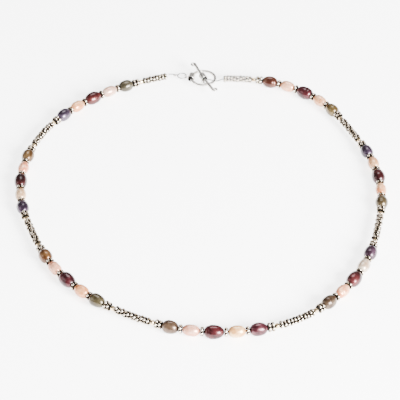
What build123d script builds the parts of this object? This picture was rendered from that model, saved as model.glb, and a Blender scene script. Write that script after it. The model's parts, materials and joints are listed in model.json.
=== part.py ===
from build123d import *
import copy
import math
import os

# Pearl necklace, 18 inch strand, fastened and laid flat.  Millimetres, +Z up.
# Origin: middle of the necklace's box at the height of the surface it lies on.
# The clasp is at the back (+Y), the middle of the strand at the front (-Y).

# ---------------------------------------------------------------- driving dimensions
WIRE_R = 0.225              # beading wire, 0.45 mm over its coating
BORE_R = 0.40               # hole through every pearl, spacer and ring
GAP = 0.06                  # play between neighbours on the wire

# Pearls by colour: length along the wire, largest diameter, and where along the
# length (0 to 1) that largest diameter lies.
PEARLS = {
    "olive": (6.1, 5.2, 0.46),
    "pink": (6.3, 4.55, 0.52),
    "burgundy": (7.1, 5.5, 0.44),
    "cream": (6.3, 4.65, 0.50),
    "mauve": (6.4, 5.15, 0.47),
}
DROP_PEARL = ("front_left", "mauve")        # this one tapers to a point, as a drop does
DROP_WAIST = 0.36
# Pearls are picked by eye, so each group's are a little fuller or slimmer.
GROUP_FULLNESS = {
    "back_left": 0.98,
    "left": 0.96,
    "front_left": 1.0,
    "front": 1.0,
    "front_right": 0.98,
    "right": 0.97,
    "back_right": 0.99,
}
STRAND_Z = PEARLS["burgundy"][1] / 2        # the wire's height: the fattest pearls touch down

DAISY_D = 1.30              # granule diameter and so thickness of a daisy spacer
DAISY_PITCH_R = 1.15
DAISY_GRANULES = 6
RING_D = 1.24               # granule diameter and thickness of a tube ring
RING_PITCH_R = 0.90
RING_GRANULES = 5
WEB_PART = 0.45             # thickness of the washer between granules, as a share

GOLD_LENGTH = 1.8
GOLD_R = 1.0                # across its flats, halved
GOLD_FACETS = 8             # flats round its belt and round each shoulder
GOLD_BELT = 0.6             # length of the belt
GOLD_SHOULDER_TAPER = 36.0

RINGS_LONG = 11             # rings in each tube between two groups of pearls
RINGS_END_LEFT = 8          # rings in the short tubes beside the clasp
RINGS_END_RIGHT = 9

# Course of the strand in plan.  Turns are in degrees, always towards the inside of
# the loop, counted from the front group outwards to the clasp.
FRONT_MIDDLE = (5.0, -72.5)
FRONT_HEADING = -2.0
FRONT_TURN = 41.0
RIGHT_TURNS = (21.0, 37.0, 3.0, 34.0, 1.0, 56.0, 14.0)
LEFT_TURNS = (10.0, 35.0, 4.0, 36.0, 16.0, 35.0, 0.5)

# Clasp
CLASP_RING_R = 4.9          # centreline radius of the toggle ring
CLASP_RING_WIRE_R = 0.6
BAR_LENGTH = 19.6           # between the centres of its two curls
BAR_R = 0.62
BAR_BOW = 0.35              # how far the bar bows sideways
BAR_HEADING = 112.5         # plan direction of the bar's back end
BAR_GAP = 0.20              # air between the bar and the ring under it
CURL_R = 0.75
CURL_WIRE_R = 0.42
CURL_SWEEP = 250.0
COLLAR_R = 1.4              # polished sleeve round the ring and round the bar
COLLAR_LENGTH = 3.3
COLLAR_WALL = 0.25
COLLAR_LIP = 0.18
COLLAR_RECESS = 1.15
EYE_R = 0.75                # centreline radius of the small soldered eyes
EYE_WIRE_R = 0.25
EYE_SINK = 0.15             # how deep an eye is soldered into its collar

STEM_STRAIGHT = 0.6         # left stem: straight out of the tube, bend, straight
STEM_BEND_CHORD = 2.4
STEM_BEND = 30.0
STEM_NECK = 1.6
LOOP_LEFT_R = 1.8
RIGHT_STEM = 2.8            # right stem: comes down under the toggle ring
RIGHT_LOOP_LENGTH = 5.6
RIGHT_LOOP_TIP_R = 1.45
KNOT_R = 0.34               # sleeve binding the right loop's two ends to its stem
KNOT_LENGTH = 0.9
CRIMP_R = 0.62
CRIMP_BORE_R = 0.34
CRIMP_LENGTH = 1.3

KINDS = ["olive", "pink", "burgundy", "cream", "mauve"]
GROUPS = ["back_left", "left", "front_left", "front", "front_right", "right", "back_right"]


# ---------------------------------------------------------------- course of the strand
class Arc:
    """A stretch of the strand in plan: a circular arc, followed by arc length."""

    def __init__(self, start, heading, length, turn):
        self.start = start
        self.heading = heading
        self.length = length
        self.turn = turn

    def heading_at(self, s):
        return self.heading + self.turn * s / self.length

    def point_at(self, s):
        mean = math.radians((self.heading + self.heading_at(s)) / 2)
        half = math.radians(self.turn * s / self.length) / 2
        chord = s * (math.sin(half) / half if half else 1.0)
        x, y = self.start
        return x + chord * math.cos(mean), y + chord * math.sin(mean)

    def reversed(self):
        end = self.point_at(self.length)
        heading = self.heading_at(self.length) + 180.0
        return Arc(end, heading, self.length, -self.turn)

    def edge(self, z):
        a, b, c = [self.point_at(self.length * t) for t in (0.0, 0.5, 1.0)]
        return ThreePointArc((*a, z), (*b, z), (*c, z))

    def place(self, s, spin=0.0):
        """Location on the wire: local X runs along it, spin turns about it."""
        x, y = self.point_at(s)
        return Location((x, y, STRAND_Z), (0, 0, self.heading_at(s))) * Location((0, 0, 0), (spin, 0, 0))


def group_length():
    """From the middle of one gold bead to the middle of the other."""
    pearls = sum(PEARLS[kind][0] for kind in KINDS)
    daisies = (len(KINDS) - 1 + 4) * DAISY_D
    neighbours = len(KINDS) + (len(KINDS) - 1 + 4) + 1
    return pearls + daisies + GOLD_LENGTH + neighbours * GAP


def tube_length(rings, gold_beads):
    return gold_beads * GOLD_LENGTH / 2 + rings * RING_D + (rings + gold_beads - 1) * GAP


def walk(start, heading, side, turns, end_rings):
    """The front group's half, then tube and group in turn, out to the clasp."""
    lengths = [group_length() / 2]
    lengths += [tube_length(RINGS_LONG, 2), group_length()] * 3
    lengths += [tube_length(end_rings, 1)]
    arcs = []
    for length, turn in zip(lengths, (FRONT_TURN / 2, *turns)):
        arc = Arc(start, heading, length, side * turn)
        arcs.append(arc)
        start = arc.point_at(length)
        heading = arc.heading_at(length)
    return arcs


def strand_arcs():
    """Every stretch from the left end to the right end, in order, by name."""
    right = walk(FRONT_MIDDLE, FRONT_HEADING, 1, RIGHT_TURNS, RINGS_END_RIGHT)
    left = walk(FRONT_MIDDLE, FRONT_HEADING + 180.0, -1, LEFT_TURNS, RINGS_END_LEFT)
    back = [arc.reversed() for arc in reversed(left)]
    front_half = back.pop()
    front = Arc(front_half.start, front_half.heading, group_length(), FRONT_TURN)
    names = [
        "end_left", "back_left", "back_left_tube", "left", "left_tube", "front_left",
        "front_left_tube", "front", "front_right_tube", "front_right", "right_tube",
        "right", "back_right_tube", "back_right", "end_right",
    ]
    return dict(zip(names, back + [front] + right[1:]))


def junctions(arcs):
    """The seven fold lines: the gold beads' middles on the left and on the right."""
    lines = []
    for tube in ("front_left_tube", "left_tube", "back_left_tube"):
        left = arcs[tube]
        right = arcs[tube.replace("left", "right")]
        lines.append((left.point_at(left.length), right.point_at(0)))
        lines.append((left.point_at(0), right.point_at(right.length)))
    left = arcs["end_left"]
    lines.append((left.point_at(left.length), arcs["end_right"].point_at(0)))
    return lines


# ---------------------------------------------------------------- beads
def x_cylinder(radius, length):
    return Cylinder(radius, length, rotation=(0, 90, 0))


def pearl(length, diameter, waist):
    """A slightly egg-shaped pearl, drilled end to end, centred on its own length."""
    r = diameter / 2
    shorten = math.sqrt(1 - (BORE_R / r) ** 2)      # the drill takes the very tips off
    rear = waist * length / shorten
    nose = (1 - waist) * length / shorten
    outline = EllipticalCenterArc((0, 0), nose, r, 0, arc_size=90)
    outline += EllipticalCenterArc((0, 0), rear, r, 90, arc_size=90)
    outline += Line((-rear, 0), (nose, 0))
    body = revolve(make_face(outline), Axis.X, 360)
    body -= x_cylinder(BORE_R, 2 * length)
    return Pos((waist - 0.5) * length, 0, 0) * body


def granulated_ring(granule_d, pitch_r, count):
    """A washer with a ring of round granules soldered round it."""
    ring = x_cylinder(pitch_r, granule_d * WEB_PART)
    for i in range(count):
        angle = math.radians(360.0 * i / count)
        ring += Pos(0, pitch_r * math.cos(angle), pitch_r * math.sin(angle)) * Sphere(granule_d / 2)
    return ring - x_cylinder(BORE_R, 2 * granule_d)


def gold_bead():
    """A tiny cut bead: a faceted belt with a faceted shoulder on each side."""
    outline = RegularPolygon(GOLD_R, GOLD_FACETS, major_radius=False)
    bead = extrude(outline, GOLD_BELT / 2, both=True)
    shoulder = (GOLD_LENGTH - GOLD_BELT) / 2
    cap = Pos(0, 0, GOLD_BELT / 2) * extrude(outline, shoulder, taper=GOLD_SHOULDER_TAPER)
    bead += cap
    bead += Rot(180, 0, 0) * cap
    return Rot(0, 90, 0) * (bead - Cylinder(BORE_R, 2 * GOLD_LENGTH))


# ---------------------------------------------------------------- strings of beads
def string_group(arc, group, daisy, gold):
    """Beads of one group along its arc, from one gold bead to the other."""
    pearls = {}
    daisies = []
    golds = [arc.place(0) * gold, arc.place(arc.length) * gold]
    s = GOLD_LENGTH / 2 + GAP

    def add_daisy(at):
        spin = 20.0 * len(daisies)
        daisies.append(arc.place(at + DAISY_D / 2, spin) * daisy)
        return at + DAISY_D + GAP

    s = add_daisy(s)
    for kind in KINDS:
        s = add_daisy(s)
        length, diameter, waist = PEARLS[kind]
        if (group, kind) == DROP_PEARL:
            waist = DROP_WAIST
        shape = pearl(length, diameter * GROUP_FULLNESS[group], waist)
        pearls[kind] = arc.place(s + length / 2) * shape
        s += length + GAP
    s = add_daisy(s)
    s = add_daisy(s)
    assert abs(s + GOLD_LENGTH / 2 - arc.length) < 1e-6
    return pearls, daisies, golds


def string_tube(arc, rings, ring, start):
    """Rings side by side, each turned half a granule from the last."""
    half_step = 180.0 / RING_GRANULES
    middle = start + RING_D / 2
    return [
        arc.place(middle + i * (RING_D + GAP), i * half_step) * ring
        for i in range(rings)
    ]


# ---------------------------------------------------------------- clasp
def polar(point, heading, distance):
    angle = math.radians(heading)
    return point[0] + distance * math.cos(angle), point[1] + distance * math.sin(angle)


def tube_along(path, radius):
    """A round wire along a path of tangent edges."""
    start = path @ 0
    direction = path % 0
    return sweep(Plane(start, z_dir=direction) * Circle(radius), path=path)


def collar():
    """A short polished sleeve, dished at both mouths, along local X."""
    half = COLLAR_LENGTH / 2
    inner = COLLAR_R - COLLAR_WALL
    outline = Polyline(
        (-half, inner), (-half, COLLAR_R - COLLAR_LIP), (-half + COLLAR_LIP, COLLAR_R),
        (half - COLLAR_LIP, COLLAR_R), (half, COLLAR_R - COLLAR_LIP), (half, inner),
        (half - COLLAR_RECESS, inner), (half - COLLAR_RECESS, 0),
        (-half + COLLAR_RECESS, 0), (-half + COLLAR_RECESS, inner), close=True,
    )
    return revolve(make_face(outline), Axis.X, 360)


def eye():
    """A small wire eye standing in the local XZ plane, its hole along Y."""
    return Rot(90, 0, 0) * Torus(EYE_R, EYE_WIRE_R)


class Clasp:
    """Where the toggle's pieces lie, worked out from the two ends of the strand."""

    def __init__(self, arcs):
        left = arcs["end_left"].reversed()
        self.left_end = left.point_at(left.length)
        self.left_heading = left.heading_at(left.length)
        right = arcs["end_right"]
        self.right_end = right.point_at(right.length)
        self.right_heading = right.heading_at(right.length)

        # left stem, loop and ring, in line one after the other
        self.bend_start = polar(self.left_end, self.left_heading, STEM_STRAIGHT)
        self.bend_end = polar(self.bend_start, self.left_heading - STEM_BEND / 2, STEM_BEND_CHORD)
        self.pull = self.left_heading - STEM_BEND
        self.left_neck = polar(self.bend_end, self.pull, STEM_NECK)
        self.ring_eye = polar(self.left_neck, self.pull, 2 * LOOP_LEFT_R)
        reach = EYE_R + EYE_WIRE_R - EYE_SINK
        self.ring_middle = polar(self.ring_eye, self.pull, CLASP_RING_R + COLLAR_R + reach)

        # right stem, loop and bar
        self.right_neck = polar(self.right_end, self.right_heading, RIGHT_STEM)
        self.bar_middle = polar(self.right_neck, self.right_heading, RIGHT_LOOP_LENGTH)
        self.bar_z = STRAND_Z + CLASP_RING_WIRE_R + BAR_GAP + BAR_R
        self.bar_eye_z = self.bar_z - COLLAR_R - reach


def toggle_ring(clasp):
    x, y = clasp.ring_middle
    inwards = clasp.pull + 180.0
    ring = Torus(CLASP_RING_R, CLASP_RING_WIRE_R)
    ring += Pos(CLASP_RING_R, 0, 0) * Rot(0, 0, 90) * collar()
    reach = COLLAR_R + EYE_R + EYE_WIRE_R - EYE_SINK
    ring += Pos(CLASP_RING_R + reach, 0, 0) * eye()
    return Location((x, y, STRAND_Z), (0, 0, inwards)) * ring


def toggle_bar(clasp):
    half = BAR_LENGTH / 2
    middle = (0, BAR_BOW, 0)
    shaft = ThreePointArc((-half, 0, 0), middle, (half, 0, 0))
    bar = tube_along(shaft, BAR_R)
    for side in (-1, 1):
        tip = (side * half, 0, 0)
        curl_centre = (side * half, side * CURL_R, 0)
        start_angle = -90.0 * side
        curl = Pos(*curl_centre) * CenterArc((0, 0, 0), CURL_R, start_angle, CURL_SWEEP)
        bar += tube_along(curl, CURL_WIRE_R)
        bar += Pos(*tip) * Sphere(BAR_R)
        bar += Pos(*(curl @ 1)) * Sphere(CURL_WIRE_R)
    bar += Pos(0, BAR_BOW, 0) * collar()
    bar = Pos(0, -BAR_BOW, 0) * bar
    eye_drop = clasp.bar_z - clasp.bar_eye_z
    bar += Pos(0, 0, -eye_drop) * Rot(0, 0, 90) * eye()
    x, y = clasp.bar_middle
    return Location((x, y, clasp.bar_z), (0, 0, BAR_HEADING)) * bar


def crimp(point, z, heading):
    tube = x_cylinder(CRIMP_R, CRIMP_LENGTH) - x_cylinder(CRIMP_BORE_R, 2 * CRIMP_LENGTH)
    return Location((*point, z), (0, 0, heading)) * tube


def left_wire_end(clasp):
    """Stem and round loop through the toggle ring's eye."""
    a = (*clasp.left_end, STRAND_Z)
    b = (*clasp.bend_start, STRAND_Z)
    c = (*clasp.bend_end, STRAND_Z)
    d = (*clasp.left_neck, STRAND_Z)
    bend_r = STEM_BEND_CHORD / 2 / math.sin(math.radians(STEM_BEND / 2))
    stem = Line(a, b)
    stem += RadiusArc(b, c, bend_r)
    stem += Line(c, d)
    x, y = polar(clasp.left_neck, clasp.pull, LOOP_LEFT_R)
    return tube_along(stem, WIRE_R) + Pos(x, y, STRAND_Z) * Torus(LOOP_LEFT_R, WIRE_R)


def right_wire_end(clasp):
    """Stem that steps down below the toggle ring, and long loop through the bar's eye."""
    drop = STRAND_Z - clasp.bar_eye_z
    bend = 2 * math.atan(drop / RIGHT_STEM)
    bend_r = RIGHT_STEM / 2 / math.sin(bend)
    # local frame: X out of the tube, Z up, the tube's mouth at the origin
    p0 = (0, 0, 0)
    p1 = (RIGHT_STEM / 2, 0, -drop / 2)
    p2 = (RIGHT_STEM, 0, -drop)
    m1 = (bend_r * math.sin(bend / 2), 0, -bend_r * (1 - math.cos(bend / 2)))
    m2 = (RIGHT_STEM - m1[0], 0, -drop - m1[2])
    stem = ThreePointArc(p0, m1, p1) + ThreePointArc(p1, m2, p2)
    end = tube_along(stem, WIRE_R)

    # teardrop: two strands from the neck, tangent to the round tip
    tip_middle = RIGHT_STEM + RIGHT_LOOP_LENGTH - RIGHT_LOOP_TIP_R
    reach = tip_middle - RIGHT_STEM
    spread = math.asin(RIGHT_LOOP_TIP_R / reach)
    strand = math.sqrt(reach ** 2 - RIGHT_LOOP_TIP_R ** 2)
    touch_x = RIGHT_STEM + strand * math.cos(spread)
    touch_y = strand * math.sin(spread)
    neck = (RIGHT_STEM, 0, -drop)
    upper = (touch_x, touch_y, -drop)
    lower = (touch_x, -touch_y, -drop)
    tip = (RIGHT_STEM + RIGHT_LOOP_LENGTH, 0, -drop)
    end += tube_along(Line(neck, upper), WIRE_R)
    end += tube_along(ThreePointArc(upper, tip, lower), WIRE_R)
    end += tube_along(Line(lower, neck), WIRE_R)
    end += Pos(*neck) * x_cylinder(KNOT_R, KNOT_LENGTH)
    x, y = clasp.right_end
    return Location((x, y, STRAND_Z), (0, 0, clasp.right_heading)) * end


def beading_wire(arcs, clasp):
    path = None
    for arc in arcs.values():
        path = arc.edge(STRAND_Z) if path is None else path + arc.edge(STRAND_Z)
    wire = tube_along(path, WIRE_R)
    wire += left_wire_end(clasp)
    wire += right_wire_end(clasp)
    return wire


# ---------------------------------------------------------------- the whole necklace
def build():
    """Every node's name with its list of solids, and the places its joints need."""
    arcs = strand_arcs()
    clasp = Clasp(arcs)
    daisy = granulated_ring(DAISY_D, DAISY_PITCH_R, DAISY_GRANULES)
    ring = granulated_ring(RING_D, RING_PITCH_R, RING_GRANULES)
    gold = gold_bead()

    nodes = {}
    for group in GROUPS:
        pearls, daisies, golds = string_group(arcs[group], group, daisy, gold)
        for kind, solid in pearls.items():
            nodes[f"{group}_pearl_{kind}"] = [solid]
        nodes[f"{group}_daisy_spacers"] = daisies
        nodes[f"{group}_gold_beads"] = golds

    past_gold = GOLD_LENGTH / 2 + GAP
    for name, arc in arcs.items():
        if name.endswith("_tube"):
            nodes[f"{name}_rings"] = string_tube(arc, RINGS_LONG, ring, past_gold)
    left_rings = string_tube(arcs["end_left"], RINGS_END_LEFT, ring, 0)
    right_rings = string_tube(arcs["end_right"], RINGS_END_RIGHT, ring, past_gold)
    crimp_at = polar(clasp.left_neck, clasp.pull, -STEM_NECK / 2 - WIRE_R)
    left_rings.append(crimp(crimp_at, STRAND_Z, clasp.pull))
    nodes["end_left_tube_rings"] = left_rings
    nodes["end_right_tube_rings"] = right_rings

    nodes["toggle_ring"] = [toggle_ring(clasp)]
    nodes["toggle_bar"] = [toggle_bar(clasp)]
    nodes["beading_wire"] = [beading_wire(arcs, clasp)]

    # the origin is the middle of the whole necklace, clasp included
    box = Compound(children=[copy.copy(s) for solids in nodes.values() for s in solids]).bounding_box()
    centre = box.center()
    move = Pos(-centre.X, -centre.Y, 0)
    nodes = {name: [move * solid for solid in solids] for name, solids in nodes.items()}
    return nodes, arcs, clasp, (centre.X, centre.Y)


def main():
    os.makedirs("parts", exist_ok=True)
    nodes, arcs, clasp, centre = build()
    for name, solids in nodes.items():
        shape = solids[0] if len(solids) == 1 else Compound(children=solids)
        export_step(shape, f"parts/{name}.step")
    strand = sum(arc.length for arc in arcs.values())
    print(len(nodes), "nodes; beaded strand", round(strand, 1), "mm; centre", centre)
    for left, right in junctions(arcs):
        print("fold line", [round(v, 2) for v in (*left, *right)])
    print("toggle ring and bar", clasp.ring_middle, clasp.bar_middle)


main()
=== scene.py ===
import json
import math
import random

import bmesh
import bpy
import numpy as np
from mathutils import Matrix, Vector, noise

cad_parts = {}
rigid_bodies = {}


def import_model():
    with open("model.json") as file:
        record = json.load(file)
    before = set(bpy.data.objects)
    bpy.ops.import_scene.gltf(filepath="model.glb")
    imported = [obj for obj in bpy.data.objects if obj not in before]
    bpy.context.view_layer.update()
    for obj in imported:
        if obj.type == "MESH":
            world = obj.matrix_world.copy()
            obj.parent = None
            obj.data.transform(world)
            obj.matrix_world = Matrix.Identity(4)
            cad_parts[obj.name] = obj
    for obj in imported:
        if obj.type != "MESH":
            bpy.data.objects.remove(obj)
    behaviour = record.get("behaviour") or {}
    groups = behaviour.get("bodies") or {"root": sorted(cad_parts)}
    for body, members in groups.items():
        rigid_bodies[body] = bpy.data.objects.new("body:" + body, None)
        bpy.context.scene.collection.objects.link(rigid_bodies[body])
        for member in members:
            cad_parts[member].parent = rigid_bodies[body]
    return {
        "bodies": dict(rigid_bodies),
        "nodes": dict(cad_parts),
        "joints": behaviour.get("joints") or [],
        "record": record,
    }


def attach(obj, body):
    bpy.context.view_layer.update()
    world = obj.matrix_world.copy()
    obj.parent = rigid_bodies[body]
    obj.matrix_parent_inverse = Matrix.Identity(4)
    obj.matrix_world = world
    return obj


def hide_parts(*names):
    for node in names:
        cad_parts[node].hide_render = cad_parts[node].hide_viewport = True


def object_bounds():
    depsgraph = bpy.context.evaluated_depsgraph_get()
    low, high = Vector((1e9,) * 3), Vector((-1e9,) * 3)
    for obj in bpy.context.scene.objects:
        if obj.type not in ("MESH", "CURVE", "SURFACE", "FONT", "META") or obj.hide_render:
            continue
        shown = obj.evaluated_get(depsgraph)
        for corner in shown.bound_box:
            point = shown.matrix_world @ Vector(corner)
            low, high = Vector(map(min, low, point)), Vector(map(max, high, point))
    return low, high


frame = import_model()
cad_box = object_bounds()

# Lengths below are in millimetres, unless they say metres; MM turns them into metres.
MM = 0.001

# ---------------------------------------------------------------- driving values
WELD = 1e-4                 # vertices of one solid closer than this are one

WIRE_R = 0.225
WIRE_AROUND = 14            # faces round the wire
HINGE_CLEAR = 0.2           # a bead's middle this near a hinge is the gold bead on it

WASHER_SHARE = 0.45         # washer thickness between granules, as a share of a granule
WASHER_AROUND = 48
RING_BORE_R = 0.40
DAISY = {"granule_d": 1.30, "pitch_r": 1.15, "granules": 6}
TUBE_RING = {"granule_d": 1.24, "pitch_r": 0.90, "granules": 5}

RELIEF_VOXEL = 0.065        # voxel of the remesh that melts granules into their washer
RELIEF_KEEP = 0.30          # share of its faces a bead keeps afterwards
RELIEF_FOOT = 0.45          # relief is 0 below this share of a bead's radius
RELIEF_SPAN = 0.50          # and 1 this much further out
SOLDER_BAND = 0.08          # skin this far off a granule's ball, in granules, is solder
SOLDER_RELIEF = 0.35        # what is left of the relief there, so the solder is painted darker: part oxide, part painted shade
BEAD_TILT = 1.2             # how far a loose bead leans on the wire, degrees

CLASP_VOXEL = 0.07
CLASP_KEEP = 0.35

BEND_STEPS = 10             # points along each stretch of the wire's two ends
LOOP_STEPS = 48
DIP_STEPS = 12
LEG_STEPS = 8
TIP_STEPS = 20

STEM_BEND = 30.0            # how far the left wire end turns before its loop, degrees
STEM_NECK = 1.6
STEM_BEND_CHORD = 2.4
LOOP_LEFT_R = 1.8
RIGHT_STEM = 2.8
RIGHT_LOOP_TIP_R = 1.45
EYE_DROP = 0.83             # the bar's eye hangs this far below the strand
EYE_REACH = 2.25            # from an eye's middle to the middle of its sleeve
SLEEVE_CORE_R = 0.68        # just outside the ring's or bar's own rod
SLEEVE_DARK_R = 1.27        # painted shade fills the sleeve's open mouth out to here
SLEEVE_WEB = 0.4            # the sleeve's hollow ends start just past this, from its middle
SLEEVE_REACH = 1.67         # half the sleeve's length, and a little
CRIMP_REACH = 0.95          # only the crimp is smaller than this, middle to furthest point
CRIMP_AROUND = 28

GOLD_SIDES = 8
GOLD_SOFTEN = 0.07
GOLD_TWIST = 0.7            # turn of one gold bead against the other, radians

PEARL_BORE_R = 0.40
PEARL_AROUND = 56
PEARL_ALONG = 44
PEARL_BLUNT = 2.25          # 2 is an ellipse; freshwater pearls are a little fuller
PEARL_WAIST = 0.9985        # the waist is where the pearl is this share of its fattest
PEARL_MOUTH = 0.98          # least radius of the skin at the drill hole, in bores
PEARL_LIP = 0.10            # how far in the hole keeps the bore's radius
PEARL_THROAT = 0.75         # how far in it has narrowed
PEARL_THROAT_SHARE = 0.9    # and to how much of the bore's radius
PEARL_FIRST_SEED = 8
WAVE_PITCH = 0.33           # broad swells of the skin, per millimetre, and their depth
WAVE_DEPTH = 0.030
DIMPLE_PITCH = 0.9          # smaller dimples
DIMPLE_DEPTH = 0.010
GROOVE_HALF = 0.35          # half width of the ring that grew round a pearl
END_FADE = 0.55             # the unevenness fades where a pearl is thinner than this share

FLOOR_GLOW = 3.8            # as of a lit white table
FLOOR_HALF = 3.0            # metres
FLOOR_GAP = 0.0001          # metres below the beads

CAMERA_ELEVATION = 39.9
CAMERA_DISTANCE = 720.5
CAMERA_LENS = 169.8         # millimetres on a 36 mm sensor
CAMERA_AIM_Y = -6.1         # where the view's middle meets the strand's level

# Colour of each pearl: what shows in its body, and the tint that drifts over it.
NACRE = {
    "back_left": {
        "olive": ((0.36, 0.33, 0.25), (0.50, 0.46, 0.38)),
        "pink": ((0.84, 0.72, 0.66), (0.92, 0.84, 0.79)),
        "burgundy": ((0.33, 0.10, 0.11), (0.48, 0.22, 0.21)),
        "cream": ((0.86, 0.67, 0.52), (0.93, 0.80, 0.68)),
        "mauve": ((0.26, 0.20, 0.27), (0.44, 0.38, 0.46)),
    },
    "left": {
        "olive": ((0.44, 0.31, 0.17), (0.62, 0.49, 0.33)),
        "pink": ((0.86, 0.64, 0.53), (0.93, 0.78, 0.69)),
        "burgundy": ((0.20, 0.06, 0.07), (0.36, 0.15, 0.15)),
        "cream": ((0.80, 0.69, 0.57), (0.90, 0.82, 0.73)),
        "mauve": ((0.24, 0.17, 0.25), (0.40, 0.31, 0.40)),
    },
    "front_left": {
        "olive": ((0.46, 0.29, 0.14), (0.62, 0.45, 0.28)),
        "pink": ((0.85, 0.66, 0.56), (0.93, 0.79, 0.71)),
        "burgundy": ((0.26, 0.08, 0.11), (0.44, 0.19, 0.22)),
        "cream": ((0.85, 0.63, 0.45), (0.93, 0.77, 0.63)),
        "mauve": ((0.32, 0.27, 0.16), (0.50, 0.45, 0.33)),
    },
    "front": {
        "olive": ((0.36, 0.26, 0.19), (0.55, 0.44, 0.35)),
        "pink": ((0.86, 0.69, 0.61), (0.94, 0.83, 0.77)),
        "burgundy": ((0.25, 0.06, 0.08), (0.46, 0.18, 0.20)),
        "cream": ((0.86, 0.71, 0.53), (0.94, 0.85, 0.72)),
        "mauve": ((0.34, 0.13, 0.17), (0.56, 0.32, 0.36)),
    },
    "front_right": {
        "olive": ((0.36, 0.27, 0.20), (0.54, 0.45, 0.36)),
        "pink": ((0.86, 0.65, 0.53), (0.93, 0.79, 0.69)),
        "burgundy": ((0.30, 0.10, 0.12), (0.50, 0.24, 0.25)),
        "cream": ((0.78, 0.71, 0.64), (0.88, 0.84, 0.79)),
        "mauve": ((0.31, 0.20, 0.27), (0.50, 0.38, 0.46)),
    },
    "right": {
        "olive": ((0.38, 0.31, 0.20), (0.55, 0.48, 0.36)),
        "pink": ((0.86, 0.66, 0.52), (0.93, 0.80, 0.68)),
        "burgundy": ((0.26, 0.07, 0.09), (0.42, 0.17, 0.19)),
        "cream": ((0.84, 0.69, 0.55), (0.92, 0.82, 0.71)),
        "mauve": ((0.24, 0.17, 0.25), (0.40, 0.32, 0.41)),
    },
    "back_right": {
        "olive": ((0.44, 0.34, 0.17), (0.60, 0.51, 0.33)),
        "pink": ((0.87, 0.71, 0.58), (0.94, 0.83, 0.74)),
        "burgundy": ((0.27, 0.08, 0.11), (0.44, 0.19, 0.22)),
        "cream": ((0.85, 0.68, 0.57), (0.93, 0.81, 0.73)),
        "mauve": ((0.38, 0.20, 0.14), (0.56, 0.36, 0.28)),
    },
}
DARK_KINDS = ("olive", "burgundy", "mauve")
DARK_NACRE = {"depth": 0.42, "richness": 2.65, "metallic": 0.62}
LIGHT_NACRE = {"depth": 0.92, "richness": 4.4, "metallic": 0.35}

SILVER_LOW = (0.58, 0.55, 0.51)
SILVER_HIGH = (0.72, 0.69, 0.65)
GOLD_LOW = (0.80, 0.56, 0.30)
GOLD_HIGH = (0.95, 0.74, 0.48)
STEEL_LOW = (0.20, 0.20, 0.20)
STEEL_HIGH = (0.34, 0.34, 0.33)
# near black, painted as shade in the clasp sleeves' hollow mouths
HOLLOW_SHADE = (0.006, 0.005, 0.004)
GRAIN_DEPTH = 0.00002       # metres of bump


# ---------------------------------------------------------------- reading the frame
def node_body():
    """Which body each CAD node belongs to."""
    bodies = frame["record"]["behaviour"]["bodies"]
    return {node: body for body, nodes in bodies.items() for node in nodes}


def solids(node):
    """The vertices of each solid in a node, as arrays, in metres."""
    bm = bmesh.new()
    bm.from_mesh(frame["nodes"][node].data)
    bmesh.ops.remove_doubles(bm, verts=bm.verts, dist=WELD * MM)
    bm.verts.ensure_lookup_table()
    reached = [False] * len(bm.verts)
    found = []
    for first in bm.verts:
        if reached[first.index]:
            continue
        reached[first.index] = True
        stack = [first]
        points = []
        while stack:
            vert = stack.pop()
            points.append(vert.co[:])
            for edge in vert.link_edges:
                other = edge.other_vert(vert)
                if not reached[other.index]:
                    reached[other.index] = True
                    stack.append(other)
        found.append(np.array(points))
    bm.free()
    return found


def centre_of(points):
    return Vector((points.min(axis=0) + points.max(axis=0)) / 2)


def reach_of(points):
    """Millimetres from a solid's middle to its furthest point."""
    return np.linalg.norm(points - np.array(centre_of(points)), axis=1).max() / MM


def main_axis(points, rank):
    """Direction the points spread along: rank 0 is the least spread, 2 the most."""
    spread = np.cov((points - points.mean(axis=0)).T)
    return Vector(np.linalg.eigh(spread)[1][:, rank])


def joint(name):
    for entry in frame["joints"]:
        if entry["name"] == name:
            return entry
    raise KeyError(name)


def along(axis, spin=0.0):
    """Rotation that lays local X along an axis, then spins about it."""
    x = Vector(axis).normalized()
    y = Vector((0, 0, 1)).cross(x).normalized()
    z = x.cross(y)
    turn = Matrix((x, y, z)).transposed().to_4x4()
    return turn @ Matrix.Rotation(spin, 4, "X")


# ---------------------------------------------------------------- mesh helpers
def new_object(name, mesh):
    obj = bpy.data.objects.new(name, mesh)
    bpy.context.scene.collection.objects.link(obj)
    return obj


def smooth(mesh):
    mesh.polygons.foreach_set("use_smooth", [True] * len(mesh.polygons))


def mesh_of(bm, name):
    mesh = bpy.data.meshes.new(name)
    bm.to_mesh(mesh)
    bm.free()
    return mesh


def applied(obj):
    """The object's mesh with its modifiers applied; the object goes."""
    graph = bpy.context.evaluated_depsgraph_get()
    graph.update()
    mesh = bpy.data.meshes.new_from_object(obj.evaluated_get(graph))
    bpy.data.objects.remove(obj)
    return mesh


def ring_of(bm, x, radius, around, shift=0.0):
    """New vertices evenly round X at x; shift is a share of one step."""
    angles = [2 * math.pi * (k + shift) / around for k in range(around)]
    return [bm.verts.new((x, radius * math.cos(a), radius * math.sin(a))) for a in angles]


def bridge(bm, low, high):
    """A band of faces between two rings with the same number of vertices."""
    for k in range(len(low)):
        j = (k + 1) % len(low)
        bm.faces.new((low[k], high[k], high[j], low[j]))


def bridge_round(bm, loops):
    """Bands from each ring to the next, and from the last back to the first."""
    for low, high in zip(loops, loops[1:] + loops[:1]):
        bridge(bm, low, high)
    bmesh.ops.recalc_face_normals(bm, faces=bm.faces)


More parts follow.
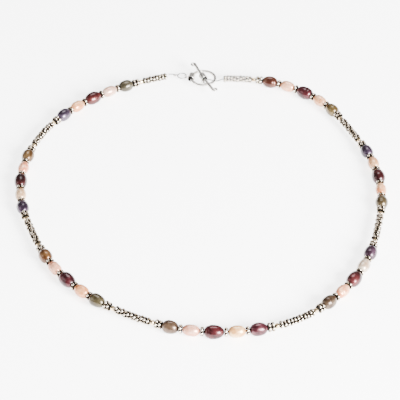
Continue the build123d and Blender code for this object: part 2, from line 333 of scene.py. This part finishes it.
def remeshed(mesh, name, voxel, keep, iterations):
    """Melts overlapping closed shapes into one smooth skin. Works in millimetres."""
    obj = new_object(name, mesh)
    melt = obj.modifiers.new("melt", "REMESH")
    melt.mode = "VOXEL"
    melt.voxel_size = voxel
    melt.use_smooth_shade = True
    ease = obj.modifiers.new("ease", "CORRECTIVE_SMOOTH")
    ease.factor = 0.5
    ease.iterations = iterations
    ease.use_only_smooth = True
    thin = obj.modifiers.new("thin", "DECIMATE")
    thin.ratio = keep
    return applied(obj)


def joined(name, parts):
    """One mesh from (mesh, matrix) pairs, keeping the relief attribute."""
    bm = bmesh.new()
    for mesh, matrix in parts:
        copy = mesh.copy()
        copy.transform(matrix)
        bm.from_mesh(copy)
        bpy.data.meshes.remove(copy)
    mesh = mesh_of(bm, name)
    smooth(mesh)
    return mesh


def lathe(profile, around):
    """A closed skin turned about X from (x, r) points."""
    bm = bmesh.new()
    bridge_round(bm, [ring_of(bm, x, r, around) for x, r in profile])
    return bm


def wire_tube(name, points, closed=False):
    """The wire along points, in metres, with domed ends where it is open."""
    radius = WIRE_R * MM
    around = WIRE_AROUND
    path = [Vector(p) for p in points]
    count = len(path)
    bm = bmesh.new()
    loops = []
    side = None
    for i, point in enumerate(path):
        if closed:
            ahead = path[(i + 1) % count] - path[i - 1]
        else:
            ahead = path[min(i + 1, count - 1)] - path[max(i - 1, 0)]
        ahead.normalize()
        if side is None:
            side = Vector((0, 0, 1)).cross(ahead)
            if side.length < 0.1:
                side = Vector((1, 0, 0)).cross(ahead)
        side = (side - ahead * side.dot(ahead)).normalized()
        up = ahead.cross(side)
        loop = []
        for k in range(around):
            angle = 2 * math.pi * k / around
            loop.append(bm.verts.new(point + radius * (math.cos(angle) * side + math.sin(angle) * up)))
        loops.append(loop)
    pairs = list(zip(loops, loops[1:]))
    if closed:
        pairs.append((loops[-1], loops[0]))
    for low, high in pairs:
        for k in range(around):
            j = (k + 1) % around
            bm.faces.new((low[k], low[j], high[j], high[k]))
    if not closed:
        for loop, point, ahead in (
            (loops[0], path[0], (path[0] - path[1]).normalized()),
            (loops[-1], path[-1], (path[-1] - path[-2]).normalized()),
        ):
            middle = Vector(point) + ahead * radius * 0.9
            ring = [bm.verts.new(v.co.lerp(middle, 0.35) + ahead * radius * 0.35) for v in loop]
            tip = bm.verts.new(middle)
            for k in range(around):
                j = (k + 1) % around
                bm.faces.new((loop[k], ring[k], ring[j], loop[j]))
                bm.faces.new((ring[k], tip, ring[j]))
    bmesh.ops.recalc_face_normals(bm, faces=bm.faces)
    mesh = mesh_of(bm, name)
    smooth(mesh)
    return mesh


def arc_points(centre, start, axis, angle, steps):
    """Points from start round centre about axis, start left out."""
    offset = start - centre
    return [
        centre + Matrix.Rotation(angle * (i + 1) / steps, 3, axis) @ offset
        for i in range(steps)
    ]


# ---------------------------------------------------------------- material helpers
def material(name):
    mat = bpy.data.materials.new(name)
    mat.use_nodes = True
    nodes = mat.node_tree.nodes
    return mat, nodes, mat.node_tree.links, nodes["Principled BSDF"]


def noise_node(nodes, links, scale, detail, coordinate):
    tex = nodes.new("ShaderNodeTexNoise")
    tex.inputs["Scale"].default_value = scale
    tex.inputs["Detail"].default_value = detail
    links.new(coordinate, tex.inputs["Vector"])
    return tex


def grain_bump(nodes, links, bsdf, height, strength):
    """Fine bump from a noise node, on the shader's normal."""
    bump = nodes.new("ShaderNodeBump")
    bump.inputs["Strength"].default_value = strength
    bump.inputs["Distance"].default_value = GRAIN_DEPTH
    links.new(height.outputs["Fac"], bump.inputs["Height"])
    links.new(bump.outputs["Normal"], bsdf.inputs["Normal"])


def relief_node(nodes):
    relief = nodes.new("ShaderNodeAttribute")
    relief.attribute_name = "relief"
    return relief


def ramp_node(nodes, stops):
    ramp = nodes.new("ShaderNodeValToRGB")
    elements = ramp.color_ramp.elements
    elements[0].position, elements[0].color = stops[0][0], (*stops[0][1], 1)
    elements[1].position, elements[1].color = stops[-1][0], (*stops[-1][1], 1)
    for position, colour in stops[1:-1]:
        element = elements.new(position)
        element.color = (*colour, 1)
    return ramp


def grey(value):
    return (value, value, value)


def seen(colour, depth, richness):
    """A colour written the way it looks, turned into the deeper one a lit shader takes."""
    return tuple(depth * ((c + 0.055) / 1.055) ** richness for c in colour)


def nacre(name, body, tint, dark, seed):
    """Freshwater pearl: a deep body, a tint that drifts over it, and fine growth skin."""
    mat, nodes, links, bsdf = material(name)
    look = DARK_NACRE if dark else LIGHT_NACRE
    deep_body = seen(body, look["depth"], look["richness"])
    deep_tint = seen(tint, look["depth"], look["richness"])
    place = nodes.new("ShaderNodeTexCoord")
    shift = nodes.new("ShaderNodeMapping")
    shift.inputs["Location"].default_value = (seed * 0.37, seed * 0.91, seed * 0.53)
    links.new(place.outputs["Object"], shift.inputs["Vector"])

    drift = noise_node(nodes, links, 330.0, 2.0, shift.outputs["Vector"])
    drift_ramp = ramp_node(nodes, [(0.40, deep_body), (0.62, deep_tint)])
    links.new(drift.outputs["Fac"], drift_ramp.inputs["Fac"])

    cloud = noise_node(nodes, links, 1700.0, 4.0, shift.outputs["Vector"])
    cloud_ramp = ramp_node(nodes, [(0.30, grey(0.90)), (0.70, grey(1.0))])
    links.new(cloud.outputs["Fac"], cloud_ramp.inputs["Fac"])

    mix = nodes.new("ShaderNodeMix")
    mix.data_type = "RGBA"
    mix.blend_type = "MULTIPLY"
    mix.inputs["Factor"].default_value = 1.0
    links.new(drift_ramp.outputs["Color"], mix.inputs["A"])
    links.new(cloud_ramp.outputs["Color"], mix.inputs["B"])
    links.new(mix.outputs["Result"], bsdf.inputs["Base Color"])

    gloss = ramp_node(nodes, [(0.3, grey(0.28)), (0.7, grey(0.38))])
    links.new(cloud.outputs["Fac"], gloss.inputs["Fac"])
    links.new(gloss.outputs["Color"], bsdf.inputs["Roughness"])

    skin = noise_node(nodes, links, 5200.0, 3.0, shift.outputs["Vector"])
    grain_bump(nodes, links, bsdf, skin, 0.10)

    bsdf.inputs["Metallic"].default_value = look["metallic"]
    bsdf.inputs["IOR"].default_value = 1.45
    bsdf.inputs["Coat Weight"].default_value = 0.35
    bsdf.inputs["Coat Roughness"].default_value = 0.14
    bsdf.inputs["Coat IOR"].default_value = 1.45
    if not dark:
        bsdf.inputs["Subsurface Weight"].default_value = 0.25
        bsdf.inputs["Subsurface Radius"].default_value = (1.0, 0.72, 0.55)
        bsdf.inputs["Subsurface Scale"].default_value = 0.0008
    return mat


def relief_silver(name):
    """Bright on the granules' tops, black down between them: partly the silver's oxide in its hollows,
    partly painted shade down the granules' sides and into the gaps.
    """
    mat, nodes, links, bsdf = material(name)
    relief = relief_node(nodes)
    place = nodes.new("ShaderNodeTexCoord")
    tarnish = noise_node(nodes, links, 2600.0, 3.0, place.outputs["Object"])
    spread = nodes.new("ShaderNodeMath")
    spread.operation = "MULTIPLY_ADD"
    spread.inputs[1].default_value = 0.22
    spread.inputs[2].default_value = -0.11
    links.new(tarnish.outputs["Fac"], spread.inputs[0])
    total = nodes.new("ShaderNodeMath")
    total.operation = "ADD"
    links.new(relief.outputs["Fac"], total.inputs[0])
    links.new(spread.outputs["Value"], total.inputs[1])
    # oxide and painted shade: near black in the deeps, dark brown on the granules' sides, silver only
    # on the tops
    colour = ramp_node(nodes, [
        (0.52, (0.006, 0.005, 0.003)), (0.72, (0.11, 0.08, 0.055)), (0.90, (0.68, 0.59, 0.47)),
    ])
    links.new(total.outputs["Value"], colour.inputs["Fac"])
    links.new(colour.outputs["Color"], bsdf.inputs["Base Color"])
    rough = ramp_node(nodes, [(0.40, grey(0.60)), (0.80, grey(0.22))])
    links.new(total.outputs["Value"], rough.inputs["Fac"])
    links.new(rough.outputs["Color"], bsdf.inputs["Roughness"])
    grain = noise_node(nodes, links, 6000.0, 2.0, place.outputs["Object"])
    grain_bump(nodes, links, bsdf, grain, 0.08)
    bsdf.inputs["Metallic"].default_value = 1.0
    return mat


def plain_metal(name, low, high, rough_low, rough_high, scale=1500.0, recessed=False):
    """Polished metal with faint wear. A recessed one gets painted shade, near black, where relief is
    0.
    """
    mat, nodes, links, bsdf = material(name)
    place = nodes.new("ShaderNodeTexCoord")
    wear = noise_node(nodes, links, scale, 4.0, place.outputs["Object"])
    colour = ramp_node(nodes, [(0.35, low), (0.65, high)])
    links.new(wear.outputs["Fac"], colour.inputs["Fac"])
    skin = colour.outputs["Color"]
    if recessed:
        # painted shade: near black mixed in where relief is 0
        mix = nodes.new("ShaderNodeMix")
        mix.data_type = "RGBA"
        mix.inputs["A"].default_value = (*HOLLOW_SHADE, 1)
        links.new(relief_node(nodes).outputs["Fac"], mix.inputs["Factor"])
        links.new(skin, mix.inputs["B"])
        skin = mix.outputs["Result"]
    links.new(skin, bsdf.inputs["Base Color"])
    rough = ramp_node(nodes, [(0.3, grey(rough_high)), (0.7, grey(rough_low))])
    links.new(wear.outputs["Fac"], rough.inputs["Fac"])
    links.new(rough.outputs["Color"], bsdf.inputs["Roughness"])
    grain = noise_node(nodes, links, scale * 4, 2.0, place.outputs["Object"])
    grain_bump(nodes, links, bsdf, grain, 0.07)
    bsdf.inputs["Metallic"].default_value = 1.0
    return mat


# ---------------------------------------------------------------- pearls
def pearl_mesh(name, node, centre, axis, seed):
    """A baroque skin over the CAD pearl's own outline, drilled at both ends."""
    points = solids(node)[0]
    offset = points - np.array(centre)
    x = offset @ np.array(axis)
    r = np.sqrt(np.maximum((offset ** 2).sum(axis=1) - x ** 2, 0))
    low = x.min() / MM
    high = x.max() / MM
    fat = r.max() / MM
    waist = x[r > PEARL_WAIST * r.max()].mean() / MM
    rng = random.Random(seed)
    origin = Vector((rng.uniform(-50, 50), rng.uniform(-50, 50), rng.uniform(-50, 50)))
    groove_at = rng.uniform(-0.5, 0.5) * (high - low)
    groove_depth = rng.uniform(0.0, 0.055)
    flat_angle = rng.uniform(0, 2 * math.pi)
    flat_depth = rng.uniform(0.01, 0.05)

    def outline(u):
        """Radius at u, the distance along the pearl from its waist."""
        reach = (high - waist) if u > 0 else (waist - low)
        shorten = math.sqrt(1 - (PEARL_BORE_R / fat) ** 2)
        share = min(abs(u) / (reach / shorten), 1.0)
        return fat * max(1 - share ** PEARL_BLUNT, 0) ** (1 / PEARL_BLUNT)

    def fullness(at, angle, radius):
        """Share of the outline's radius that the skin keeps at one point of it."""
        place = Vector((at, radius * math.cos(angle), radius * math.sin(angle)))
        wave = noise.noise(place * WAVE_PITCH + origin)
        dimple = noise.noise(place * DIMPLE_PITCH - origin)
        fade = min(radius / (END_FADE * fat), 1.0)
        scale = 1 - fade * (WAVE_DEPTH * (1 + wave) + DIMPLE_DEPTH * (1 + dimple))
        scale -= fade * flat_depth * max(math.cos(angle - flat_angle), 0) ** 4
        return scale - fade * groove_depth * math.exp(-((at - groove_at) / GROOVE_HALF) ** 2)

    bm = bmesh.new()
    loops = []
    angles = [2 * math.pi * k / PEARL_AROUND for k in range(PEARL_AROUND)]
    for i in range(PEARL_ALONG + 1):
        at = low + (high - low) * (1 - math.cos(math.pi * i / PEARL_ALONG)) / 2
        loop = []
        for angle in angles:
            radius = max(outline(at - waist), PEARL_BORE_R)
            radius = max(radius * fullness(at, angle, radius), PEARL_BORE_R * PEARL_MOUTH)
            loop.append(bm.verts.new((at, radius * math.cos(angle), radius * math.sin(angle))))
        loops.append(loop)
    for at, share in (
        (high - PEARL_LIP, 1.0), (high - PEARL_THROAT, PEARL_THROAT_SHARE),
        (low + PEARL_THROAT, PEARL_THROAT_SHARE), (low + PEARL_LIP, 1.0),
    ):
        loops.append(ring_of(bm, at, PEARL_BORE_R * share, PEARL_AROUND))
    bridge_round(bm, loops)
    mesh = mesh_of(bm, name)
    smooth(mesh)
    mesh.transform(Matrix.Translation(centre) @ along(axis) @ Matrix.Scale(MM, 4))
    return mesh


def make_pearls():
    """A skin on every CAD pearl, each with its own shape and nacre."""
    pearls = [(group, kind) for group, kinds in NACRE.items() for kind in kinds]
    for seed, (group, kind) in enumerate(pearls, PEARL_FIRST_SEED):
        body, tint = NACRE[group][kind]
        node = f"{group}_pearl_{kind}"
        spin = joint(f"pearl_spin_{group}_{kind}")
        mesh = pearl_mesh(f"{node}_nacre", node, Vector(spin["pos_m"]), Vector(spin["axis"]), seed)
        pearl = new_object(f"{node}_nacre", mesh)
        mesh.materials.append(nacre(f"{node}_nacre", body, tint, kind in DARK_KINDS, seed))
        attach(pearl, node)
        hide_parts(node)


# ---------------------------------------------------------------- silver beads
def granule_ring(name, granule_d, pitch_r, granules):
    """Granules soldered round a washer, as one skin, with relief 0 in the deeps, where the material
    paints oxide and shade.
    """
    half = granule_d * WASHER_SHARE / 2
    washer = [
        (-half, RING_BORE_R), (-half, pitch_r), (0, pitch_r * 1.05),
        (half, pitch_r), (half, RING_BORE_R),
    ]
    bm = lathe(washer, WASHER_AROUND)
    angles = [2 * math.pi * i / granules for i in range(granules)]
    middles = [(0, pitch_r * math.cos(a), pitch_r * math.sin(a)) for a in angles]
    for middle in middles:
        place = Matrix.Translation(middle)
        bmesh.ops.create_icosphere(bm, subdivisions=3, radius=granule_d / 2, matrix=place)
    mesh = remeshed(mesh_of(bm, name), name, RELIEF_VOXEL, RELIEF_KEEP, iterations=2)

    outer = pitch_r + granule_d / 2
    relief = mesh.attributes.new("relief", "FLOAT", "POINT")
    for i, vert in enumerate(mesh.vertices):
        x, y, z = vert.co
        radial = math.hypot(y, z)
        # the bore stays open
        if 0 < radial < RING_BORE_R:
            vert.co.y *= RING_BORE_R / radial
            vert.co.z *= RING_BORE_R / radial
        # relief falls towards the axis and off the balls onto the solder; the material paints low
        # relief dark, as the silver's oxide in its hollows and as painted shade down the granules'
        # sides
        nearest = min(math.dist((x, y, z), middle) for middle in middles)
        ball = max(0.0, 1.0 - abs(nearest - granule_d / 2) / (SOLDER_BAND * granule_d))
        height = (radial - RELIEF_FOOT * outer) / (RELIEF_SPAN * outer)
        polish_and_shade = SOLDER_RELIEF + (1 - SOLDER_RELIEF) * ball
        relief.data[i].value = max(0.0, min(1.0, height * polish_and_shade))
    mesh.transform(Matrix.Scale(MM, 4))
    return mesh


def make_granulated(beads, template, silver, suffix):
    """Replaces the nodes of daisies or rings with finer ones in the same places."""
    rng = random.Random(suffix + beads)
    for node in sorted(frame["nodes"]):
        if not node.endswith(suffix):
            continue
        parts = []
        for points in solids(node):
            if reach_of(points) < CRIMP_REACH:
                continue
            lean = math.radians(rng.uniform(-BEAD_TILT, BEAD_TILT))
            spin = rng.uniform(0, 2 * math.pi)
            turn = along(main_axis(points, 0), spin) @ Matrix.Rotation(lean, 4, "Z")
            parts.append((template, Matrix.Translation(centre_of(points)) @ turn))
        mesh = joined(f"{node}_granulated", parts)
        mesh.materials.append(silver)
        obj = new_object(f"{node}_granulated", mesh)
        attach(obj, BODY[node])
        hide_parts(node)


# ---------------------------------------------------------------- gold beads
def gold_template():
    """A cut bead with softened edges: a belt, two faceted shoulders and a flared bore."""
    # place along the bore, radius, and turn as a share of one facet
    rows = (
        (-0.88, 0.57, 0.5), (-0.86, 0.63, 0.5), (-0.33, 1.00, 0.0), (0.33, 1.00, 0.0),
        (0.86, 0.63, 0.5), (0.88, 0.57, 0.5), (0.86, 0.54, 0.5), (0.0, 0.28, 0.5),
        (-0.86, 0.54, 0.5),
    )
    bm = bmesh.new()
    bridge_round(bm, [ring_of(bm, x, r, GOLD_SIDES, turn) for x, r, turn in rows])
    obj = new_object("gold_template", mesh_of(bm, "gold_template"))
    soften = obj.modifiers.new("soften", "BEVEL")
    soften.width = GOLD_SOFTEN
    soften.segments = 3
    soften.limit_method = "ANGLE"
    soften.angle_limit = math.radians(12)
    mesh = applied(obj)
    mesh.transform(Matrix.Scale(MM, 4))
    return mesh


def make_gold(template, gold):
    for node in sorted(frame["nodes"]):
        if not node.endswith("_gold_beads"):
            continue
        group = node[: -len("_gold_beads")]
        daisies = [centre_of(p) for p in solids(f"{group}_daisy_spacers")]
        parts = []
        for index, points in enumerate(solids(node)):
            centre = centre_of(points)
            nearest = min(daisies, key=lambda d: (d - centre).length)
            turn = along(nearest - centre, index * GOLD_TWIST)
            parts.append((template, Matrix.Translation(centre) @ turn))
        mesh = joined(f"{node}_cut", parts)
        mesh.materials.append(gold)
        obj = new_object(f"{node}_cut", mesh)
        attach(obj, BODY[node])
        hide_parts(node)


# ---------------------------------------------------------------- clasp
def ring_sleeve():
    """Middle and direction of the sleeve on the toggle ring, in metres."""
    eye = Vector(joint("clasp_ring_swing")["pos_m"])
    outwards = (eye - centre_of(solids("toggle_ring")[0])).normalized()
    outwards.z = 0
    middle = eye - outwards.normalized() * (EYE_REACH * MM)
    return middle, outwards.cross(Vector((0, 0, 1))).normalized()


def bar_sleeve():
    """Middle and direction of the sleeve on the toggle bar, in metres."""
    lengthwise = main_axis(solids("toggle_bar")[0], 2)
    lengthwise.z = 0
    middle = Vector(joint("clasp_bar_turn")["pos_m"])
    middle.z += (EYE_REACH - EYE_DROP) * MM
    return middle, lengthwise.normalized()


def make_clasp_piece(node, silver, sleeve):
    """The CAD shape with its solder joints melted smooth and painted shade inside its sleeve."""
    source = frame["nodes"][node].data.copy()
    source.transform(Matrix.Scale(1 / MM, 4))
    bm = bmesh.new()
    bm.from_mesh(source)
    bmesh.ops.remove_doubles(bm, verts=bm.verts, dist=WELD)
    bpy.data.meshes.remove(source)
    mesh = remeshed(mesh_of(bm, node), node, CLASP_VOXEL, CLASP_KEEP, iterations=3)
    mesh.transform(Matrix.Scale(MM, 4))
    middle, lengthwise = sleeve
    relief = mesh.attributes.new("relief", "FLOAT", "POINT")
    for index, vert in enumerate(mesh.vertices):
        offset = (vert.co - middle) / MM
        at = abs(offset.dot(lengthwise))
        out = (offset - lengthwise * offset.dot(lengthwise)).length
        # the sleeve's hollow mouth gets relief 0, which the material paints as shade
        hollow = SLEEVE_CORE_R < out < SLEEVE_DARK_R and SLEEVE_WEB < at < SLEEVE_REACH
        relief.data[index].value = 0.0 if hollow else 1.0
    mesh.materials.clear()
    mesh.materials.append(silver)
    smooth(mesh)
    obj = new_object(f"{node}_polished", mesh)
    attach(obj, BODY[node])
    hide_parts(node)


# ---------------------------------------------------------------- beading wire
def stringing(body):
    """Centres of what a body carries on the wire, in order from one end."""
    nodes = frame["record"]["behaviour"]["bodies"][body]
    beads = []
    for node in nodes:
        if node.endswith(("_daisy_spacers", "_gold_beads", "_rings")):
            beads += [centre_of(p) for p in solids(node) if reach_of(p) > CRIMP_REACH]
    if body.endswith("_strand"):
        group = body[: -len("_strand")]
        for kind in NACRE[group]:
            beads.append(Vector(joint(f"pearl_spin_{group}_{kind}")["pos_m"]))
    start = max(beads, key=lambda b: (b - beads[0]).length)
    ordered = [start]
    rest = [b for b in beads if b is not start]
    while rest:
        following = min(rest, key=lambda b: (b - ordered[-1]).length)
        rest.remove(following)
        ordered.append(following)
    return ordered


def hinge_points(body):
    return [
        Vector(entry["pos_m"])
        for entry in frame["joints"]
        if entry["name"].startswith("fold_") and body in (entry["parent"], entry["child"])
    ]


def nearest_first(points, target):
    if (points[0] - target).length > (points[-1] - target).length:
        points = points[::-1]
    return points


def left_end(points):
    """Stem and loop that hold the toggle ring's eye."""
    eye = Vector(joint("clasp_ring_swing")["pos_m"])
    ahead = (points[-1] - points[-2]).normalized()
    heading = math.atan2(ahead.y, ahead.x)
    pull = heading - math.radians(STEM_BEND)
    way = Vector((math.cos(pull), math.sin(pull), 0))
    neck = eye - way * (2 * LOOP_LEFT_R * MM)
    bend_end = neck - way * (STEM_NECK * MM)
    radius = STEM_BEND_CHORD / 2 / math.sin(math.radians(STEM_BEND / 2)) * MM
    aside = Vector((way.y, -way.x, 0))
    centre = bend_end + aside * radius
    bend = arc_points(centre, bend_end, "Z", math.radians(STEM_BEND), BEND_STEPS)
    stem = points + bend[::-1] + [bend_end, neck]
    middle = eye - way * (LOOP_LEFT_R * MM)
    turn = 2 * math.pi * (LOOP_STEPS - 1) / LOOP_STEPS
    return stem, [neck] + arc_points(middle, neck, "Z", turn, LOOP_STEPS - 1)


def right_end(points):
    """Stem that dips under the toggle ring, and the teardrop through the bar's eye."""
    tip = Vector(joint("clasp_bar_turn")["pos_m"])
    tip.z -= EYE_DROP * MM
    mouth = points[-1]
    ahead = (Vector((tip.x, tip.y, 0)) - Vector((mouth.x, mouth.y, 0))).normalized()
    side = Vector((-ahead.y, ahead.x, 0))
    drop = EYE_DROP * MM
    start = mouth + ahead * (TUBE_RING["granule_d"] / 2 * MM)
    stem = list(points)
    for i in range(DIP_STEPS + 1):
        t = i / DIP_STEPS
        ease = t * t * (3 - 2 * t)
        stem.append(start + ahead * (RIGHT_STEM * MM * t) - Vector((0, 0, drop * ease)))
    neck = stem[-1]
    reach = (tip - neck).length - RIGHT_LOOP_TIP_R * MM
    spread = math.asin(RIGHT_LOOP_TIP_R * MM / reach)
    strand = math.sqrt(reach ** 2 - (RIGHT_LOOP_TIP_R * MM) ** 2)
    touch = neck + (ahead * math.cos(spread) + side * math.sin(spread)) * strand
    middle = neck + ahead * reach
    round_tip = arc_points(middle, touch, "Z", -(math.pi + 2 * spread), TIP_STEPS)
    out = [neck.lerp(touch, i / LEG_STEPS) for i in range(LEG_STEPS + 1)]
    back = [round_tip[-1].lerp(neck, i / LEG_STEPS) for i in range(1, LEG_STEPS)]
    return stem, out + round_tip + back


def make_wire(steel):
    """The beading wire, a stretch to each body, from hinge to hinge or to a loop."""
    for body in frame["bodies"]:
        if not body.endswith(("_strand", "_tube")):
            continue
        hinges = hinge_points(body)
        beads = nearest_first(stringing(body), hinges[0])
        if len(hinges) == 2:
            between = [
                b for b in beads if min((b - h).length for h in hinges) > HINGE_CLEAR * MM
            ]
            stretches = [wire_tube(f"{body}_wire", [hinges[0]] + between + [hinges[1]])]
        else:
            make_end = left_end if body.startswith("end_left") else right_end
            stem, loop = make_end([hinges[0]] + beads)
            stretches = [
                wire_tube(f"{body}_stem", stem),
                wire_tube(f"{body}_loop", loop, closed=True),
            ]
        mesh = joined(f"{body}_wire", [(stretch, Matrix.Identity(4)) for stretch in stretches])
        mesh.materials.append(steel)
        obj = new_object(f"{body}_wire", mesh)
        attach(obj, body)
        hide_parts("beading_wire")


def make_crimp(metal):
    """The crushed crimp bead at the left loop's neck."""
    for points in solids("end_left_tube_rings"):
        if reach_of(points) > CRIMP_REACH:
            continue
        centre = centre_of(points)
        eye = Vector(joint("clasp_ring_swing")["pos_m"])
        way = (eye - centre).normalized()
        profile = [
            (-0.62, 0.30), (-0.65, 0.46), (-0.52, 0.60), (-0.25, 0.56), (0.0, 0.50),
            (0.25, 0.56), (0.52, 0.60), (0.65, 0.46), (0.62, 0.30),
        ]
        mesh = mesh_of(lathe(profile, CRIMP_AROUND), "left_crimp")
        smooth(mesh)
        mesh.transform(Matrix.Translation(centre) @ along(way) @ Matrix.Scale(MM, 4))
        mesh.materials.append(metal)
        obj = new_object("left_crimp", mesh)
        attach(obj, BODY["end_left_tube_rings"])


# ---------------------------------------------------------------- stage, light, camera
def make_stage():
    floor_mat, nodes, links, bsdf = material("floor_white")
    place = nodes.new("ShaderNodeTexCoord")
    tone = noise_node(nodes, links, 3.0, 2.0, place.outputs["Object"])
    ramp = ramp_node(nodes, [(0.0, grey(0.93)), (1.0, grey(0.96))])
    links.new(tone.outputs["Fac"], ramp.inputs["Fac"])
    links.new(ramp.outputs["Color"], bsdf.inputs["Base Color"])
    bsdf.inputs["Roughness"].default_value = 0.85
    bsdf.inputs["Specular IOR Level"].default_value = 0.15
    bsdf.inputs["Emission Color"].default_value = (1.0, 1.0, 1.0, 1.0)
    bsdf.inputs["Emission Strength"].default_value = FLOOR_GLOW
    bm = bmesh.new()
    bmesh.ops.create_grid(bm, x_segments=8, y_segments=8, size=FLOOR_HALF)
    floor = new_object("floor", mesh_of(bm, "floor"))
    floor.data.materials.append(floor_mat)
    floor.location.z = cad_box[0][2] - FLOOR_GAP


def area_light(name, place, width, depth, power):
    """A softbox aimed at the middle of the necklace."""
    data = bpy.data.lights.new(name, "AREA")
    data.shape = "RECTANGLE"
    data.size = width
    data.size_y = depth
    data.energy = power
    lamp = bpy.data.objects.new(name, data)
    lamp.location = place
    lamp.rotation_euler = (-Vector(place)).to_track_quat("-Z", "Y").to_euler()
    bpy.context.scene.collection.objects.link(lamp)


def make_light():
    area_light("key_softbox", (0.66, -0.74, 0.44), 0.46, 0.46, 125.0)
    area_light("top_softbox", (0.0, 0.55, 0.95), 0.5, 0.4, 8.0)
    area_light("left_fill", (-0.9, -0.2, 0.45), 0.5, 0.5, 3.0)
    world = bpy.data.worlds.new("studio")
    world.use_nodes = True
    background = world.node_tree.nodes["Background"]
    background.inputs["Color"].default_value = (1.0, 1.0, 1.0, 1.0)
    background.inputs["Strength"].default_value = 0.30
    bpy.context.scene.world = world


def make_camera():
    data = bpy.data.cameras.new("camera")
    data.lens = CAMERA_LENS
    data.sensor_width = 36.0
    data.clip_start = 0.01
    data.clip_end = 20.0
    camera = bpy.data.objects.new("camera", data)
    rise = math.radians(CAMERA_ELEVATION)
    level = Vector(joint("fold_1")["pos_m"]).z
    aim = Vector((0, CAMERA_AIM_Y * MM, level))
    back = Vector((0, -math.cos(rise), math.sin(rise)))
    camera.location = aim + back * CAMERA_DISTANCE * MM
    camera.rotation_euler = (-back).to_track_quat("-Z", "Y").to_euler()
    bpy.context.scene.collection.objects.link(camera)
    bpy.context.scene.camera = camera


# ---------------------------------------------------------------- the scene
BODY = node_body()

make_camera()
make_light()
make_stage()

make_pearls()
daisy = granule_ring("daisy", **DAISY)
tube_ring = granule_ring("tube_ring", **TUBE_RING)
daisy_silver = relief_silver("daisy_silver")
ring_silver = relief_silver("ring_silver")
make_granulated("daisies", daisy, daisy_silver, "_daisy_spacers")
make_granulated("rings", tube_ring, ring_silver, "_rings")
make_gold(gold_template(), plain_metal("pale_gold", GOLD_LOW, GOLD_HIGH, 0.18, 0.34))

# clasp_silver paints shade into the sleeves' hollows; bright_silver has none
clasp_silver = plain_metal("clasp_silver", SILVER_LOW, SILVER_HIGH, 0.24, 0.36, 900.0, True)
bright_silver = plain_metal("bright_silver", SILVER_LOW, SILVER_HIGH, 0.24, 0.36, 900.0)
make_clasp_piece("toggle_ring", clasp_silver, ring_sleeve())
make_clasp_piece("toggle_bar", clasp_silver, bar_sleeve())
make_wire(plain_metal("coated_wire", STEEL_LOW, STEEL_HIGH, 0.22, 0.36))
make_crimp(bright_silver)
